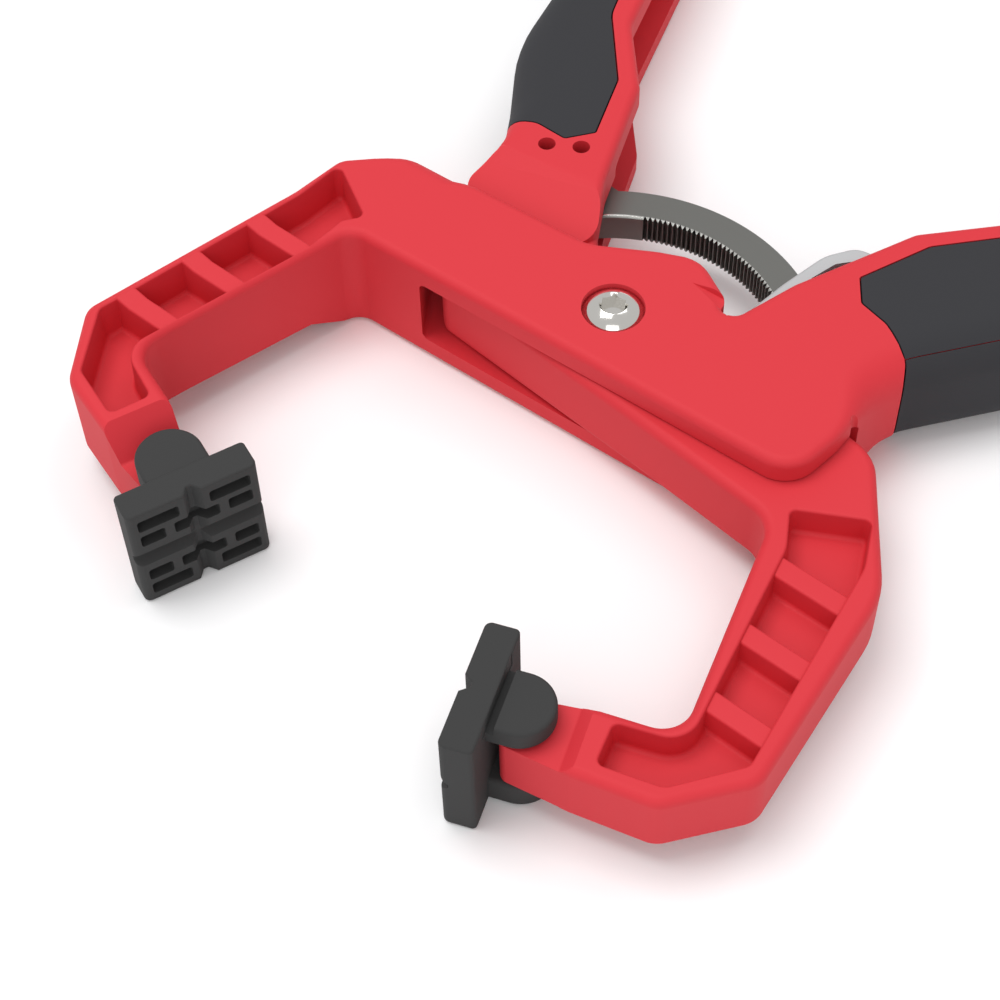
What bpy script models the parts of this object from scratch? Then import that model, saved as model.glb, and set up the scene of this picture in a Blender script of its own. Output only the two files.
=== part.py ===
"""One-hand ratcheting clamp: two crossing arms, a toothed arc bar and a release lever.

The pivot axis is Z and the clamp rests on Z = 0. The jaws point to -Y and the handles to +Y.
Each arm is drawn with its jaw on +X and its handle on -X. The fork arm is the mirror image.
All sizes are in millimetres and become metres when the meshes are made.
"""
import math

import bmesh
import bpy
from mathutils import Matrix, Vector

MM = 0.001
GAP = 0.3                    # clearance between neighbouring pieces
FULL = 23.2                  # thickness of the fork arm and of both handles
MID = FULL / 2
TONGUE_HALF = 6.7            # half thickness of the tongue arm between the cheeks
SLOT_HALF = TONGUE_HALF + GAP
NECK_HALF = 5.3              # half thickness of the neck that carries a pad
ARM_EDGE = 1.5               # rounding of the arms' long edges

JAW, HANDLE = 1, -1          # side of the drawing on which an arm is used

# pivot
HEAD_RADIUS = 5.25
HEAD_HEIGHT = 3.2
HEAD_SINK = 1.6
HEAD_SPHERE = 6.6            # radius of the button head's dome
SOCKET_ACROSS = 4.0
SOCKET_DEPTH = 2.0
BARREL_RADIUS = 4.0
SCREW_RADIUS = 2.6
SCREW_TIP = 8.0              # height of the screw's lower end
NUT_FLOOR = 5.0
FLANGE_THICK = 1.9
WASHER_RADIUS = 8.0
WASHER_THICK = 1.0
SPRING_RADIUS = 6.4
SPRING_WIRE = 0.85
SPRING_POCKET = 7.9

# pads
PAD_PIVOT = (36.6, -69.75)
PAD_TILT = 21.0              # degrees between a pad's face and the middle plane
PAD_SIDE = 23.0
PAD_FACE = 9.1               # pivot axis to gripping face
PAD_PLATE = 5.6
EAR_RADIUS = 5.7
EAR_STEPS = (0.2, 1.5)       # one ear is nearly flush with the plate and the other is set back
EAR_GROOVE = 1.3             # width of the groove between the plate and the ear that is set back
PIN_RADIUS = 1.5

# ratchet
BAR_INNER, BAR_OUTER = 30.0, 36.6
BAR_HALF = 2.9
TOOTH_DEPTH = 0.8
TOOTH_PITCH = 1.78           # degrees
BAR_END, TEETH_END, TANG_START, TANG_END = 25.0, 117.0, 126.0, 141.0
BAR_PINS = ((-28.4, 27.2), (-33.8, 24.0))
TANG_ROUND = 3.3             # metal around a pin's centre

# release lever
LEVER_PIN = (36.0, 41.5)
LEVER_HALF = 6.2
LEVER_PIN_RADIUS = 2.0
LEVER_SPRING_RADIUS = 3.4
LEVER_SPRING_WIRE = 0.45
LEVER_SPRING_SPACE = 6.6
PAWL_HALF = 2.6

# lightening pockets in the jaws
RIB_Y = (-22.8, -36.3, -49.5)
RIB_WIDTH = 4.2
RIB_SINK = 0.7
POCKET_FLOORS = {"fork": (4.2, -1.8), "tongue": (1.3, 1.3)}   # above and below the middle plane
RAISED_SOLE = [(15, -1), (15, 0), (24, 5.0), (50, 6.2), (90, 6.2), (90, -1)]  # under the fork's jaw

# grips
GRIP_SKIN = 1.9
GRIP_WALL = 2.5

RAMP_HEADING = 95.0          # way up the ramp from the tongue to its handle, in degrees

# corners as (x, y) or (x, y, radius)
HANDLE_INNER = [(-20.4, 24, 12), (-30.1, 47.0, 5), (-42, 60, 9), (-58.5, 106.5, 7)]
FORK_OUTER = [(-74.6, 106.5, 7), (-70, 86, 40), (-66.6, 66, 40), (-61.6, 41.9, 30), (-44.5, 19, 20)]
TONGUE_OUTER = [(-72.8, 106.5, 7), (-67.2, 86, 40), (-63.2, 66, 40), (-57.5, 44.1, 36), (-41.4, 21.3, 8)]
JAW_INNER = [(57.3, -57.0, 5), (45.3, -61.2, 2), (33.5, -67.0, 1)]
JAW_TIP = [(34.3, -71.8, 6), (36.9, -75.2, 1), (48.5, -72.9, 3)]

FORK = (FORK_OUTER + [(-45.3, 1, 10), (-44, -10.2, 8.5), (47.4, -14.0, 4)]
        + JAW_INNER + JAW_TIP
        + [(61.3, -69.0, 5), (70.5, -56, 4), (61.8, -13, 12), (60.8, -2.0, 4), (51.5, 7.2, 6)]
        + [(13, 9.7, 8), (2.5, 15.8, 8), (-4.5, 19.0, 7), (-13.4, 14.2, 2.5)]
        + [(-13.8, 11.3, 2), (-17, 11.8, 5)] + HANDLE_INNER)
FORK_HANDLE = FORK_OUTER + [(-45, 9), (-12.9, 11.4)] + HANDLE_INNER
TONGUE_HANDLE = TONGUE_OUTER + [(-40.3, 16.5, 12), (-42.4, 8.4), (-12.9, 11.4)] + HANDLE_INNER
TONGUE = ([(-37, 18), (-39.8, 15, 10), (-41.4, 7, 3), (-30.3, -10.2, 4), (12, -13.4, 60), (44.6, -16.4, 6)]
          + JAW_INNER + JAW_TIP
          + [(62.0, -69.2, 5), (71.5, -56.5, 5), (66.6, -17, 16), (50.2, 5.4, 9)]
          + [(12, 9.4, 20), (-10, 9.4, 6), (-17.5, 18, 3)])

POCKET_FORK = [(47.6, -10.2, 1), (59.6, -3.4, 1), (60.0, -13, 8), (68.2, -54.8, 2), (60.6, -66.4, 2),
               (50.2, -69.8, 1), (47.8, -63.0, 1), (58.6, -58.6, 5), (50.2, -22, 9), (50.0, -13.5, 1)]
POCKET_TONGUE = [(46.0, -12.9, 1), (57.5, -6.6, 1), (61.6, -15, 8), (68.4, -55.2, 2), (60.8, -66.0, 3),
                 (50.6, -69.2, 1), (48.4, -62.0, 1), (59.2, -58.0, 5), (50.0, -19.5, 7)]

# drawn as they lie in the clamp
SLOT = [(-31.5, -30), (-31.5, -14.6), (-47.6, 9.2), (-47.6, 45), (-4, 45), (16, 62), (34, 82), (50, 102),
        (58.5, 100.5, 3), (63.2, 98, 3), (58.4, 84), (54.2, 67, 20), (51.4, 55.5, 20), (46.4, 42, 14),
        (37.4, 27, 8), (36, 20, 6), (36, 8.6), (80, 6.6), (80, -30)]
CHANNEL_ROOT = [(-4, 34), (-9, 12.4), (-17, 13.0, 2), (-30, 15.0, 4), (-36.8, 19.4, 2), (-38.4, 28, 3),
                (-37, 33), (-20, 42)]
CHANNEL = [(-12, 31), (-39.8, 31), (-46.4, 42, 14), (-51.4, 55.5, 20), (-54.2, 67, 20), (-58.4, 84),
           (-63.2, 98, 3), (-58.5, 100.5, 3), (-50, 102), (-34, 82), (-16, 62)]
GRIP_INNER = [(-92, 97), (-68, 101, 4), (-60.5, 98, 4), (-54.8, 80, 30), (-46.4, 59.3, 8), (-34.1, 45.4, 2),
              (-28.7, 31.8, 0.6), (-32.2, 27.1, 1)]
FORK_GRIP = GRIP_INNER + [(-38.0, 25.8, 4), (-44.6, 22.2, 2), (-47, 18.6), (-62, 12), (-95, 60)]
TONGUE_GRIP = GRIP_INNER + [(-38.8, 27.2, 4), (-43.2, 24.6, 1), (-62, 17), (-95, 60)]
HANDLE_AND_GRIP = {HANDLE: (FORK_HANDLE, FORK_GRIP), JAW: (TONGUE_HANDLE, TONGUE_GRIP)}

LEVER = [(15.4, 16.2, 2), (16.6, 27, 20), (18.4, 37, 8), (21.8, 42.2, 4), (28.4, 43.2, 4), (31.8, 45.4, 3),
         (39.0, 60, 8), (42.4, 69, 10), (47.6, 78.4, 8), (52.0, 84.6, 2), (49.6, 88.0, 3), (54.4, 87.0, 2),
         (53.2, 77, 10), (47.6, 67, 10), (43.6, 56, 12), (40.8, 44, 3), (40.4, 37.6, 4), (36.4, 33, 4),
         (33.4, 24, 6), (31.6, 15.6, 3), (24, 12.4, 2), (18, 14.4, 3)]
LEVER_HOLLOW = [(19.6, 30, 1), (21.2, 36.4, 2), (23.6, 39.2, 2), (28.6, 39.8, 2), (30.0, 36.0, 2),
                (27.2, 30, 1)]


def rounded(corners, steps=5):
    """Turn corners with radii into the points of a closed outline."""
    points = []
    count = len(corners)
    for index, corner in enumerate(corners):
        here = Vector(corner[:2])
        radius = corner[2] if len(corner) > 2 else 0
        to_last = Vector(corners[index - 1][:2]) - here
        to_next = Vector(corners[(index + 1) % count][:2]) - here
        angle = to_last.angle(to_next)
        reach = radius / math.tan(angle / 2) if radius else 0
        reach = min(reach, 0.49 * to_last.length, 0.49 * to_next.length)
        if reach < 0.05:
            points.append((here.x, here.y))
            continue
        start = here + to_last.normalized() * reach
        end = here + to_next.normalized() * reach
        turn = math.pi - angle
        arc_steps = max(1, min(steps, round(turn / math.radians(14))))
        for step in range(arc_steps + 1):
            t = step / arc_steps
            a = start.lerp(here, t)
            b = here.lerp(end, t)
            point = a.lerp(b, t)
            points.append((point.x, point.y))
    return points


def flip(corners, side):
    """Mirror a drawing when it is used on the other side."""
    if side == JAW:
        return list(corners)
    return [(-corner[0], *corner[1:]) for corner in reversed(corners)]


def inset(points, distance):
    """Move a closed outline inwards, whichever way round it runs."""
    count = len(points)
    area = sum(points[i - 1][0] * points[i][1] - points[i][0] * points[i - 1][1] for i in range(count))
    inward = math.copysign(distance, area)
    moved = []
    for index, point in enumerate(points):
        before = (Vector(point) - Vector(points[index - 1])).normalized()
        after = (Vector(points[(index + 1) % count]) - Vector(point)).normalized()
        normal = Vector((-before.y - after.y, before.x + after.x)).normalized()
        stretch = max(0.5, normal.dot(Vector((-before.y, before.x))))
        moved.append((point[0] + normal.x * inward / stretch, point[1] + normal.y * inward / stretch))
    return moved


def polar(radius, degrees):
    angle = math.radians(degrees)
    return (radius * math.cos(angle), radius * math.sin(angle))


def clear_scene():
    for old in list(bpy.data.objects):
        bpy.data.objects.remove(old, do_unlink=True)


def collection(name):
    made = bpy.data.collections.new(name)
    bpy.context.scene.collection.children.link(made)
    return made


def material(name, colour, roughness, metallic=0.0):
    made = bpy.data.materials.new(name)
    made.use_nodes = True
    shader = made.node_tree.nodes["Principled BSDF"]
    shader.inputs["Base Color"].default_value = (*colour, 1)
    shader.inputs["Roughness"].default_value = roughness
    shader.inputs["Metallic"].default_value = metallic
    return made


clear_scene()
PARTS = collection("ratcheting_hand_clamp")
CUTTERS = collection("cutters")
RED = material("red_nylon", (0.62, 0.02, 0.03), 0.38)
SOFT_BLACK = material("soft_grip_rubber", (0.025, 0.025, 0.027), 0.62)
PAD_BLACK = material("pad_rubber", (0.03, 0.03, 0.032), 0.5)
CHROME = material("nickel_plate", (0.8, 0.78, 0.74), 0.15, 1.0)
STEEL = material("oiled_steel", (0.2, 0.2, 0.19), 0.35, 1.0)
ZINC = material("cast_zinc", (0.55, 0.56, 0.57), 0.5, 1.0)


def add(name, mesh, tool=False):
    """Put a mesh into the clamp, or among the cutters."""
    made = bpy.data.objects.new(name, mesh)
    (CUTTERS if tool else PARTS).objects.link(made)
    if tool:
        made.hide_render = True
        made.display_type = "WIRE"
    return made


def evaluated_mesh(source):
    bpy.context.view_layer.update()
    graph = bpy.context.evaluated_depsgraph_get()
    return bpy.data.meshes.new_from_object(source.evaluated_get(graph))


def slab(name, outline, low, high, tool=False, holes=()):
    """A flat plate between two heights, from a closed outline and round or shaped holes."""
    curve = bpy.data.curves.new(name, "CURVE")
    curve.dimensions = "2D"
    curve.fill_mode = "BOTH"
    curve.extrude = (high - low) / 2 * MM
    for loop in (outline, *holes):
        spline = curve.splines.new("POLY")
        spline.points.add(len(loop) - 1)
        spline.use_cyclic_u = True
        for point, (x, y) in zip(spline.points, loop):
            point.co = (x * MM, y * MM, 0, 1)
    drawing = bpy.data.objects.new(name + "_drawing", curve)
    bpy.context.scene.collection.objects.link(drawing)
    mesh = evaluated_mesh(drawing)
    bpy.data.objects.remove(drawing)
    form = bmesh.new()
    form.from_mesh(mesh)
    bmesh.ops.remove_doubles(form, verts=form.verts, dist=1e-7)
    bmesh.ops.dissolve_limit(form, angle_limit=math.radians(0.5), verts=form.verts, edges=form.edges)
    bmesh.ops.translate(form, verts=form.verts, vec=(0, 0, (low + high) / 2 * MM))
    bmesh.ops.recalc_face_normals(form, faces=form.faces)
    form.to_mesh(mesh)
    form.free()
    return add(name, mesh, tool)


def cylinder(name, centre, radius, low, high, tool=False, sides=24):
    form = bmesh.new()
    bmesh.ops.create_cone(form, cap_ends=True, segments=sides, radius1=radius * MM, radius2=radius * MM,
                          depth=(high - low) * MM)
    mesh = bpy.data.meshes.new(name)
    form.to_mesh(mesh)
    form.free()
    made = add(name, mesh, tool)
    made.location = (centre[0] * MM, centre[1] * MM, (low + high) / 2 * MM)
    return made


def box(name, low, high, tool=True):
    form = bmesh.new()
    bmesh.ops.create_cube(form, size=1)
    size = [(high[axis] - low[axis]) * MM for axis in range(3)]
    middle = [(high[axis] + low[axis]) / 2 * MM for axis in range(3)]
    bmesh.ops.scale(form, verts=form.verts, vec=size)
    mesh = bpy.data.meshes.new(name)
    form.to_mesh(mesh)
    form.free()
    made = add(name, mesh, tool)
    made.location = middle
    return made


def turned(name, profile, steps=32, tool=False):
    """A solid of revolution about Z: radius and height pairs from the top down the outside."""
    mesh = bpy.data.meshes.new(name)
    points = [(radius * MM, 0, height * MM) for radius, height in profile]
    mesh.from_pydata(points, [(i, i + 1) for i in range(len(points) - 1)], [])
    made = add(name, mesh, tool)
    screw = made.modifiers.new("turn", "SCREW")
    screw.steps = steps
    screw.render_steps = steps
    screw.use_merge_vertices = True
    screw.merge_threshold = 0.00001
    screw.use_normal_calculate = True
    return made


def wire(name, points, radius, resolution=1):
    """A bent wire with filled ends."""
    curve = bpy.data.curves.new(name, "CURVE")
    curve.dimensions = "3D"
    curve.bevel_depth = radius * MM
    curve.bevel_resolution = resolution
    curve.use_fill_caps = True
    spline = curve.splines.new("POLY")
    spline.points.add(len(points) - 1)
    for target, point in zip(spline.points, points):
        target.co = (*(value * MM for value in point), 1)
    made = bpy.data.objects.new(name, curve)
    PARTS.objects.link(made)
    return made


def bevel(piece, width, segments=2, angle=40):
    made = piece.modifiers.new("rounding", "BEVEL")
    made.width = width * MM
    made.segments = segments
    made.limit_method = "ANGLE"
    made.angle_limit = math.radians(angle)
    made.use_clamp_overlap = True
    made.harden_normals = False
    return piece


def boolean(piece, tool, operation="DIFFERENCE"):
    made = piece.modifiers.new(operation.lower(), "BOOLEAN")
    made.object = tool
    made.operation = operation
    made.solver = "EXACT"
    return piece


def finish(piece, paint, smooth_angle=35):
    """Give a piece its material and smooth shading on its round faces."""
    piece.data.materials.clear()
    piece.data.materials.append(paint)
    if piece.type == "MESH":
        piece.data.shade_smooth()
        piece.data.set_sharp_from_angle(angle=math.radians(smooth_angle))
    return piece


def side_prism(name, profile, origin, direction, half_width):
    """A cutter whose profile stands upright along a direction and runs across it."""
    made = slab(name, profile, -half_width, half_width, tool=True)
    along = Vector((*direction, 0)).normalized()
    up = Vector((0, 0, 1))
    across = along.cross(up)
    turn = Matrix((along, up, across)).transposed().to_4x4()
    made.matrix_world = Matrix.Translation((origin[0] * MM, origin[1] * MM, 0)) @ turn
    return made


def jaw_direction(side):
    angle = math.radians(180 + PAD_TILT)
    return Vector((side * math.cos(angle), math.sin(angle)))


def cut_neck(piece, side, half_thick, step_start, step_end):
    """Step the jaw down to the neck on both faces."""
    origin = (side * PAD_PIVOT[0], PAD_PIVOT[1])
    for sign in (1, -1):
        profile = [(step_start - 0.6, MID + sign * (half_thick + 0.8)), (step_start, MID + sign * half_thick),
                   (step_end, MID + sign * NECK_HALF), (12, MID + sign * NECK_HALF),
                   (12, MID + sign * (half_thick + 2))]
        tool = side_prism("neck_cut", profile, origin, jaw_direction(side), 12)
        boolean(piece, tool)


def cut_pockets(piece, kind, corners, side, half_thick):
    """Sink the ribbed pockets into both faces of a jaw."""
    outline = rounded(flip(corners, side), 3)
    for sign, floor in zip((1, -1), POCKET_FLOORS[kind]):
        ends = sorted((MID + sign * floor, MID + sign * (half_thick + 1)))
        tool = slab("pocket_cut", outline, *ends, tool=True)
        rib_ends = sorted((MID + sign * (floor - 1), MID + sign * (half_thick - RIB_SINK)))
        for rib_y in RIB_Y:
            left, right = sorted((side * 44, side * 74))
            rib = box("rib", (left, rib_y - RIB_WIDTH / 2, rib_ends[0]),
                      (right, rib_y + RIB_WIDTH / 2, rib_ends[1]))
            boolean(tool, rib)
        boolean(piece, tool)


def handle_outlines(side):
    """Outlines of a handle and of its grip's region, as they lie in the clamp."""
    handle, region = HANDLE_AND_GRIP[side]
    return rounded(flip(handle, side)), rounded(flip(region, side), 4)


def grip(name, side):
    """Soft overmoulding: the handle's outer skin within the grip's own outline."""
    outline, region = handle_outlines(side)
    piece = slab(name, outline, 0, FULL)
    bevel(piece, 4.5, 3)
    boolean(piece, slab(name + "_region", inset(region, GAP / 2), -1, FULL + 1, tool=True), "INTERSECT")
    core = slab(name + "_core", inset(outline, GRIP_WALL), GRIP_SKIN, FULL - GRIP_SKIN, tool=True)
    boolean(piece, core)
    return finish(piece, SOFT_BLACK)


def cut_grip_seat(piece, name, side):
    """Take out the space of a grip: the region around a handle, less the handle's core."""
    outline, region = handle_outlines(side)
    low = GRIP_SKIN + GAP
    core = slab(name + "_core", inset(outline, GRIP_WALL + GAP), low, FULL - low, tool=True)
    space = slab(name + "_space", inset(region, -GAP / 2), -1, FULL + 1, tool=True)
    boolean(piece, boolean(space, core))


def fork_arm():
    piece = slab("fork_arm", rounded(flip(FORK, HANDLE)), 0, FULL)
    bevel(piece, ARM_EDGE)
    boolean(piece, slab("slot_cut", rounded(SLOT, 4), MID - SLOT_HALF, MID + SLOT_HALF, tool=True))
    cut_pockets(piece, "fork", POCKET_FORK, HANDLE, MID)
    cut_neck(piece, HANDLE, MID, -10.95, -6.45)
    boolean(piece, side_prism("sole_cut", RAISED_SOLE, (-57, 0), (0, -1), 26))
    cut_grip_seat(piece, "fork_grip_seat", HANDLE)
    boolean(piece, cylinder("pivot_bore", (0, 0), BARREL_RADIUS + GAP, -1, FULL + 1, tool=True))
    recess = HEAD_RADIUS + GAP
    head_room = cylinder("head_recess", (0, 0), recess, FULL - HEAD_SINK, FULL + 1, tool=True, sides=32)
    boolean(piece, head_room)
    flange_room = cylinder("flange_recess", (0, 0), recess, -1, FLANGE_THICK + GAP, tool=True, sides=32)
    boolean(piece, flange_room)
    bore = LEVER_PIN_RADIUS + GAP
    boolean(piece, cylinder("lever_bore", LEVER_PIN, bore, 1, FULL - 1, tool=True, sides=16))
    boolean(piece, pad_bore(HANDLE))
    return finish(piece, RED)


def pad_bore(side):
    return cylinder("pad_bore", (side * PAD_PIVOT[0], PAD_PIVOT[1]), PIN_RADIUS + GAP, 1.9, FULL - 1.9,
                    tool=True, sides=16)


def tongue_arm():
    handle = slab("tongue_handle", rounded(TONGUE_HANDLE), 0, FULL, tool=True)
    bevel(handle, ARM_EDGE)
    for sign in (1, -1):
        low = TONGUE_HALF - 0.1
        profile = [(-30, MID + sign * low), (12.0, MID + sign * low), (23.0, MID + sign * (MID + 0.3)),
                   (23.0, MID + sign * 20), (-30, MID + sign * 20)]
        boolean(handle, side_prism("ramp_cut", profile, (0, 0), polar(1, RAMP_HEADING), 75))
    piece = slab("tongue_arm", rounded(TONGUE), MID - TONGUE_HALF, MID + TONGUE_HALF)
    bevel(piece, ARM_EDGE)
    boolean(piece, handle, "UNION")
    boolean(piece, slab("channel_cut", rounded(CHANNEL, 4), MID - TONGUE_HALF, MID + TONGUE_HALF, tool=True))
    boolean(piece, slab("channel_root_cut", rounded(CHANNEL_ROOT, 4), MID - 4.5, MID + 4.5, tool=True))
    cut_pockets(piece, "tongue", POCKET_TONGUE, JAW, TONGUE_HALF)
    cut_neck(piece, JAW, TONGUE_HALF, -10.35, -8.25)
    cut_grip_seat(piece, "tongue_grip_seat", JAW)
    boolean(piece, cylinder("pivot_bore", (0, 0), BARREL_RADIUS + GAP, -1, FULL + 1, tool=True))
    top = MID + TONGUE_HALF
    low = MID - TONGUE_HALF
    seat = WASHER_RADIUS + GAP
    boolean(piece, cylinder("washer_seat", (0, 0), seat, top - WASHER_THICK, top + 1, tool=True, sides=32))
    boolean(piece, cylinder("washer_seat", (0, 0), seat, low - 1, low + WASHER_THICK, tool=True, sides=32))
    boolean(piece, cylinder("spring_room", (0, 0), SPRING_POCKET, MID - 4.2, top - 0.5, tool=True, sides=32))
    for centre in BAR_PINS:
        boolean(piece, cylinder("bar_pin_bore", centre, PIN_RADIUS + GAP, -1, FULL + 1, tool=True, sides=16))
    boolean(piece, pad_bore(JAW))
    return finish(piece, RED)


def pivot():
    """Button head screw in a flanged barrel nut, with a thrust washer above and below the tongue."""
    top = FULL - HEAD_SINK + HEAD_HEIGHT
    under = FULL - HEAD_SINK + 0.05
    radii = [HEAD_RADIUS * step / 6 for step in range(7)]
    dome = [(radius, top - HEAD_SPHERE + math.sqrt(HEAD_SPHERE ** 2 - radius ** 2)) for radius in radii]
    profile = dome + [(HEAD_RADIUS, under), (SCREW_RADIUS, under), (SCREW_RADIUS, SCREW_TIP), (0, SCREW_TIP)]
    screw = turned("pivot_screw", profile)
    angles = range(0, 360, 60)
    hexagon = [polar(SOCKET_ACROSS / 2 / math.cos(math.radians(30)), angle) for angle in angles]
    boolean(screw, slab("hex_socket", hexagon, top - SOCKET_DEPTH, top + 1, tool=True))
    finish(screw, CHROME)
    bore = SCREW_RADIUS + GAP
    nut_top = under - GAP
    profile = [(0, NUT_FLOOR), (bore, NUT_FLOOR), (bore, nut_top), (BARREL_RADIUS, nut_top),
               (BARREL_RADIUS, FLANGE_THICK), (HEAD_RADIUS, FLANGE_THICK),
               (HEAD_RADIUS, 0.3), (HEAD_RADIUS - 0.3, 0), (0, 0)]
    finish(turned("pivot_barrel_nut", profile), CHROME)
    top = MID + TONGUE_HALF
    low = MID - TONGUE_HALF
    for name, bottom in (("upper_washer", top - WASHER_THICK + GAP / 2), ("lower_washer", low + GAP / 2)):
        ring = [polar(WASHER_RADIUS, angle) for angle in range(0, 360, 10)]
        hole = [polar(BARREL_RADIUS + GAP, angle) for angle in range(0, 360, 15)]
        finish(slab(name, ring, bottom, bottom + WASHER_THICK - GAP, holes=[hole]), STEEL)


def coil(radius, low, high, turns, start, per_turn=14):
    """Points along a helix about Z."""
    count = int(turns * per_turn)
    points = []
    for index in range(count + 1):
        t = index / count
        x, y = polar(radius, start + 360 * turns * t)
        points.append((x, y, low + (high - low) * t))
    return points


def opening_spring():
    points = coil(SPRING_RADIUS, MID - 3.2, MID + 3.9, 3.75, 0)
    return finish(wire("opening_spring", points, SPRING_WIRE), STEEL)


def ratchet_bar():
    """Arc bar about the pivot: teeth on the hollow side, a tang with two pin holes at the fixed end."""
    teeth = []
    count = int((TEETH_END - BAR_END - 3) / TOOTH_PITCH)
    for index in range(count):
        angle = BAR_END + 3 + index * TOOTH_PITCH
        teeth.append(polar(BAR_INNER, angle))
        teeth.append(polar(BAR_INNER + TOOTH_DEPTH, angle + TOOTH_PITCH * 0.82))
    plain_start = BAR_END + 3 + count * TOOTH_PITCH
    plain = [polar(BAR_INNER, plain_start + step * (TANG_END - plain_start) / 8) for step in range(9)]
    tang = []
    for centre, start, end in ((BAR_PINS[1], 235, 115), (BAR_PINS[0], 105, 65)):
        for angle in range(start, end - 1, -20):
            x, y = polar(TANG_ROUND, angle)
            tang.append((centre[0] + x, centre[1] + y))
    back = [polar(BAR_OUTER, TANG_START - step * (TANG_START - BAR_END) / 24) for step in range(25)]
    outline = [polar(BAR_INNER + 1.2, BAR_END)] + teeth + plain + tang + back
    holes = [[(x + dx, y + dy) for dx, dy in (polar(PIN_RADIUS + GAP, angle) for angle in range(0, 360, 30))]
             for x, y in BAR_PINS]
    bar = slab("ratchet_bar", outline, MID - BAR_HALF, MID + BAR_HALF, holes=holes)
    finish(bar, STEEL, 20)
    for name, centre in zip(("inner_bar_pin", "outer_bar_pin"), BAR_PINS):
        pin = cylinder(name, centre, PIN_RADIUS, 3.4, FULL - 3.4, sides=16)
        finish(bevel(pin, 0.25, 1), STEEL)


def ring_sector(inner, outer, start, end, steps=12):
    angles = [start + (end - start) * step / steps for step in range(steps + 1)]
    return [polar(outer, angle) for angle in angles] + [polar(inner, angle) for angle in reversed(angles)]


def release_lever():
    lever = slab("release_lever", rounded(LEVER, 4), MID - LEVER_HALF, MID + LEVER_HALF,
                 holes=[rounded(LEVER_HOLLOW, 3)])
    bevel(lever, 0.6, 1)
    path = ring_sector(BAR_INNER - 0.9, BAR_OUTER + 1.3, 12, 72)
    boolean(lever, slab("bar_path", path, MID - BAR_HALF - 0.6, MID + BAR_HALF + 0.6, tool=True))
    seat = ring_sector(25.9, 29.6, 30.5, 45.5, 4)
    boolean(lever, slab("pawl_seat", seat, MID - PAWL_HALF - GAP, MID + PAWL_HALF + GAP, tool=True))
    boolean(lever, cylinder("lever_bore", LEVER_PIN, LEVER_PIN_RADIUS + GAP, 0, FULL, tool=True, sides=16))
    boolean(lever, cylinder("spring_gap", LEVER_PIN, LEVER_SPRING_SPACE, MID - 2.6, MID + 2.6, tool=True))
    finish(lever, ZINC)
    low = GRIP_SKIN + 0.5
    pin = cylinder("lever_pin", LEVER_PIN, LEVER_PIN_RADIUS, low, FULL - low, sides=16)
    finish(bevel(pin, 0.3, 1), STEEL)
    turns = coil(LEVER_SPRING_RADIUS, MID - 1.7, MID + 1.7, 3.5, 60, 12)
    points = [(x + LEVER_PIN[0], y + LEVER_PIN[1], z) for x, y, z in turns]
    finish(wire("lever_spring", points, LEVER_SPRING_WIRE), STEEL)


def pawl():
    """Hardened block in the lever, with three teeth towards the bar."""
    tips = []
    for index in range(5):
        angle = 33.0 + index * TOOTH_PITCH
        tips.append(polar(BAR_INNER - GAP - TOOTH_DEPTH, angle))
        tips.append(polar(BAR_INNER - GAP, angle + TOOTH_PITCH * 0.8))
    outline = [polar(26.2, 31.0)] + [polar(28.6, 31.0)] + tips + [polar(28.6, 45.0)] + [polar(26.2, 45.0)]
    return finish(slab("ratchet_pawl", outline, MID - PAWL_HALF, MID + PAWL_HALF), STEEL, 20)


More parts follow.
